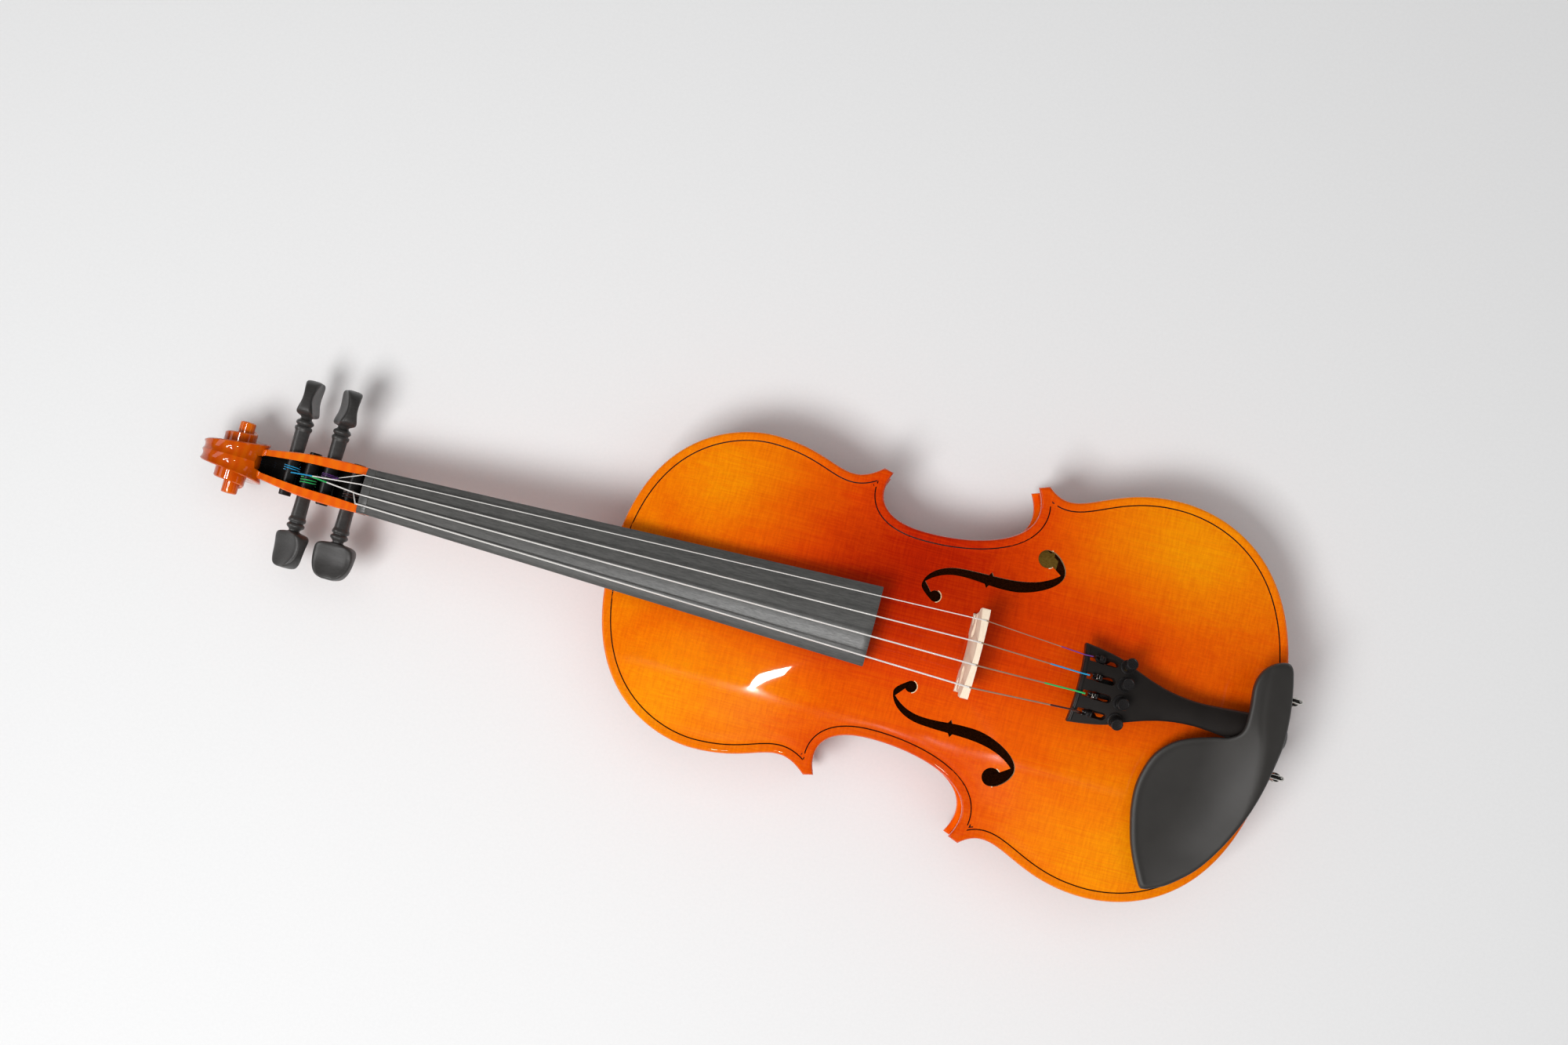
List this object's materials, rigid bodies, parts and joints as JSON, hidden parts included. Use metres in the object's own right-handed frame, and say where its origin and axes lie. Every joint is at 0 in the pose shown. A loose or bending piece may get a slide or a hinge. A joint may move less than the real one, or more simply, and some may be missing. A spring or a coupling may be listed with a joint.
{
  "type": "violin",
  "caption": "Full-size violin: hollow carved body, neck and scroll, friction pegs, strings over a bridge, tailpiece with fine tuners, and a side chinrest.",
  "frame": {"origin": "on the flat crown of the back, on the centre line, 220 mm from the tail edge of the body", "axes": "+X along the instrument towards the scroll, +Y towards the lowest string, +Z out of the top plate"},
  "size_m": [0.5928, 0.21, 0.094],
  "materials": {
    "varnished_top": "clear gloss varnish, orange shading to amber, over straight-grained spruce",
    "varnished_maple": "clear gloss red-orange varnish over maple",
    "bare_spruce": "bare planed spruce, unvarnished",
    "blackened_wood": "black-stained hardwood, satin, with straight grain",
    "matte_black_wood": "matte black-stained hardwood",
    "composite": "matte black moulded composite",
    "bridge_maple": "bare pale maple, fine sanded",
    "string_steel": "bright flat-wound metal strings",
    "silk_blue": "blue thread winding",
    "silk_green": "green thread winding",
    "silk_purple": "purple thread winding",
    "silk_black": "near-black thread winding",
    "black_metal": "black oxide satin",
    "nickel": "bright nickel plate",
    "cork": "fine natural cork",
    "nylon": "black nylon cord"
  },
  "bodies": {
    "root": {"top_plate": "varnished_top", "back_plate": "varnished_maple", "rib_lower": "varnished_maple", "rib_waist_bass": "varnished_maple", "rib_waist_treble": "varnished_maple", "rib_upper_bass": "varnished_maple", "rib_upper_treble": "varnished_maple", "corner_block_lower_bass": "bare_spruce", "corner_block_lower_treble": "bare_spruce", "corner_block_upper_bass": "bare_spruce", "corner_block_upper_treble": "bare_spruce", "end_block": "bare_spruce", "neck_block": "bare_spruce", "bass_bar": "bare_spruce", "sound_post": "bare_spruce", "fingerboard": "blackened_wood", "nut": "blackened_wood", "neck_and_scroll": "varnished_maple", "string_e": "string_steel", "string_a": "string_steel", "string_d": "string_steel", "string_g": "string_steel", "bridge": "bridge_maple", "tailpiece": "composite", "tuner_pin_e": "black_metal", "tuner_pin_a": "black_metal", "tuner_pin_d": "black_metal", "tuner_pin_g": "black_metal", "saddle": "blackened_wood", "tail_cord": "nylon", "end_button": "matte_black_wood", "chinrest": "matte_black_wood", "clamp_screw_bass": "nickel", "clamp_screw_treble": "nickel", "cork_pad_top_bass": "cork", "cork_pad_top_treble": "cork"},
    "peg_e": {"peg_e": "matte_black_wood", "string_end_e": "silk_purple"},
    "peg_a": {"peg_a": "matte_black_wood", "string_end_a": "silk_blue"},
    "peg_d": {"peg_d": "matte_black_wood", "string_end_d": "silk_green"},
    "peg_g": {"peg_g": "matte_black_wood", "string_end_g": "silk_black"},
    "tuner_screw_e": {"tuner_screw_e": "black_metal"},
    "tuner_knob_e": {"tuner_knob_e": "black_metal"},
    "tuner_lever_e": {"tuner_lever_e": "black_metal"},
    "tuner_screw_a": {"tuner_screw_a": "black_metal"},
    "tuner_knob_a": {"tuner_knob_a": "black_metal"},
    "tuner_lever_a": {"tuner_lever_a": "black_metal"},
    "tuner_screw_d": {"tuner_screw_d": "black_metal"},
    "tuner_knob_d": {"tuner_knob_d": "black_metal"},
    "tuner_lever_d": {"tuner_lever_d": "black_metal"},
    "tuner_screw_g": {"tuner_screw_g": "black_metal"},
    "tuner_knob_g": {"tuner_knob_g": "black_metal"},
    "tuner_lever_g": {"tuner_lever_g": "black_metal"},
    "clamp_barrel_bass": {"clamp_barrel_bass": "nickel"},
    "clamp_barrel_treble": {"clamp_barrel_treble": "nickel"},
    "clamp_foot": {"clamp_foot": "nickel", "cork_pad_back": "cork"}
  },
  "joints": [
    {"name": "peg_e_turn", "type": "hinge", "parent": "root", "child": "peg_e", "pos_m": [0.2934, 0, 0.0335], "axis": [0, -1, 0], "continuous": true},
    {"name": "peg_a_turn", "type": "hinge", "parent": "root", "child": "peg_a", "pos_m": [0.315, 0, 0.0295], "axis": [0, -1, 0], "continuous": true},
    {"name": "peg_d_turn", "type": "hinge", "parent": "root", "child": "peg_d", "pos_m": [0.304, 0, 0.0315], "axis": [0, 1, 0], "continuous": true},
    {"name": "peg_g_turn", "type": "hinge", "parent": "root", "child": "peg_g", "pos_m": [0.279, 0, 0.035], "axis": [0, 1, 0], "continuous": true},
    {"name": "tuner_screw_e_travel", "type": "slide", "parent": "root", "child": "tuner_screw_e", "axis": [0.1251, 0.3238, -0.9378], "range_m": [-0.0018, 0.0018]},
    {"name": "tuner_knob_e_turn", "type": "hinge", "parent": "tuner_screw_e", "child": "tuner_knob_e", "pos_m": [-0.1328, -0.0136, 0.07374], "axis": [0.1251, 0.3238, -0.9378], "range_deg": [-1440, 1440]},
    {"name": "tuner_lever_e_tilt", "type": "hinge", "parent": "root", "child": "tuner_lever_e", "pos_m": [-0.12166, -0.01094, 0.0674], "axis": [0.0428, -0.9461, -0.321], "range_deg": [-10.13, 10.13]},
    {"name": "tuner_screw_a_travel", "type": "slide", "parent": "root", "child": "tuner_screw_a", "axis": [0.1315, 0.1071, -0.9855], "range_m": [-0.0018, 0.0018]},
    {"name": "tuner_knob_a_turn", "type": "hinge", "parent": "tuner_screw_a", "child": "tuner_knob_a", "pos_m": [-0.13307, -0.0045, 0.07574], "axis": [0.1315, 0.1071, -0.9855], "range_deg": [-1440, 1440]},
    {"name": "tuner_lever_a_tilt", "type": "hinge", "parent": "root", "child": "tuner_lever_a", "pos_m": [-0.12188, -0.00362, 0.06901], "axis": [0.0142, -0.9942, -0.1062], "range_deg": [-10.13, 10.13]},
    {"name": "tuner_screw_d_travel", "type": "slide", "parent": "root", "child": "tuner_screw_d", "axis": [0.1315, -0.1071, -0.9855], "range_m": [-0.0018, 0.0018]},
    {"name": "tuner_knob_d_turn", "type": "hinge", "parent": "tuner_screw_d", "child": "tuner_knob_d", "pos_m": [-0.13307, 0.0045, 0.07574], "axis": [0.1315, -0.1071, -0.9855], "range_deg": [-1440, 1440]},
    {"name": "tuner_lever_d_tilt", "type": "hinge", "parent": "root", "child": "tuner_lever_d", "pos_m": [-0.12188, 0.00362, 0.06901], "axis": [-0.0142, -0.9942, 0.1062], "range_deg": [-10.13, 10.13]},
    {"name": "tuner_screw_g_travel", "type": "slide", "parent": "root", "child": "tuner_screw_g", "axis": [0.1251, -0.3238, -0.9378], "range_m": [-0.0018, 0.0018]},
    {"name": "tuner_knob_g_turn", "type": "hinge", "parent": "tuner_screw_g", "child": "tuner_knob_g", "pos_m": [-0.1328, 0.0136, 0.07374], "axis": [0.1251, -0.3238, -0.9378], "range_deg": [-1440, 1440]},
    {"name": "tuner_lever_g_tilt", "type": "hinge", "parent": "root", "child": "tuner_lever_g", "pos_m": [-0.12166, 0.01094, 0.0674], "axis": [-0.0428, -0.9461, 0.321], "range_deg": [-10.13, 10.13]},
    {"name": "clamp_barrel_bass_turn", "type": "hinge", "parent": "root", "child": "clamp_barrel_bass", "pos_m": [-0.2236, 0.02, 0.033], "axis": [0, 0, 1], "range_deg": [0, 1440]},
    {"name": "clamp_barrel_treble_turn", "type": "hinge", "parent": "root", "child": "clamp_barrel_treble", "pos_m": [-0.2236, -0.02, 0.033], "axis": [0, 0, 1], "range_deg": [0, 1440]},
    {"name": "clamp_foot_travel", "type": "slide", "parent": "root", "child": "clamp_foot", "axis": [0, 0, -1], "range_m": [0, 0.004]}
  ],
  "couplings": [
    {"joint": "tuner_knob_e_turn", "follows": "tuner_screw_e_travel", "rad_per_m": 13963},
    {"joint": "tuner_lever_e_tilt", "follows": "tuner_screw_e_travel", "rad_per_m": 98.039},
    {"joint": "tuner_knob_a_turn", "follows": "tuner_screw_a_travel", "rad_per_m": 13963},
    {"joint": "tuner_lever_a_tilt", "follows": "tuner_screw_a_travel", "rad_per_m": 98.039},
    {"joint": "tuner_knob_d_turn", "follows": "tuner_screw_d_travel", "rad_per_m": 13963},
    {"joint": "tuner_lever_d_tilt", "follows": "tuner_screw_d_travel", "rad_per_m": 98.039},
    {"joint": "tuner_knob_g_turn", "follows": "tuner_screw_g_travel", "rad_per_m": 13963},
    {"joint": "tuner_lever_g_tilt", "follows": "tuner_screw_g_travel", "rad_per_m": 98.039},
    {"joint": "clamp_barrel_bass_turn", "follows": "clamp_foot_travel", "rad_per_m": 6283.1},
    {"joint": "clamp_barrel_treble_turn", "follows": "clamp_foot_travel", "rad_per_m": 6283.1}
  ]
}
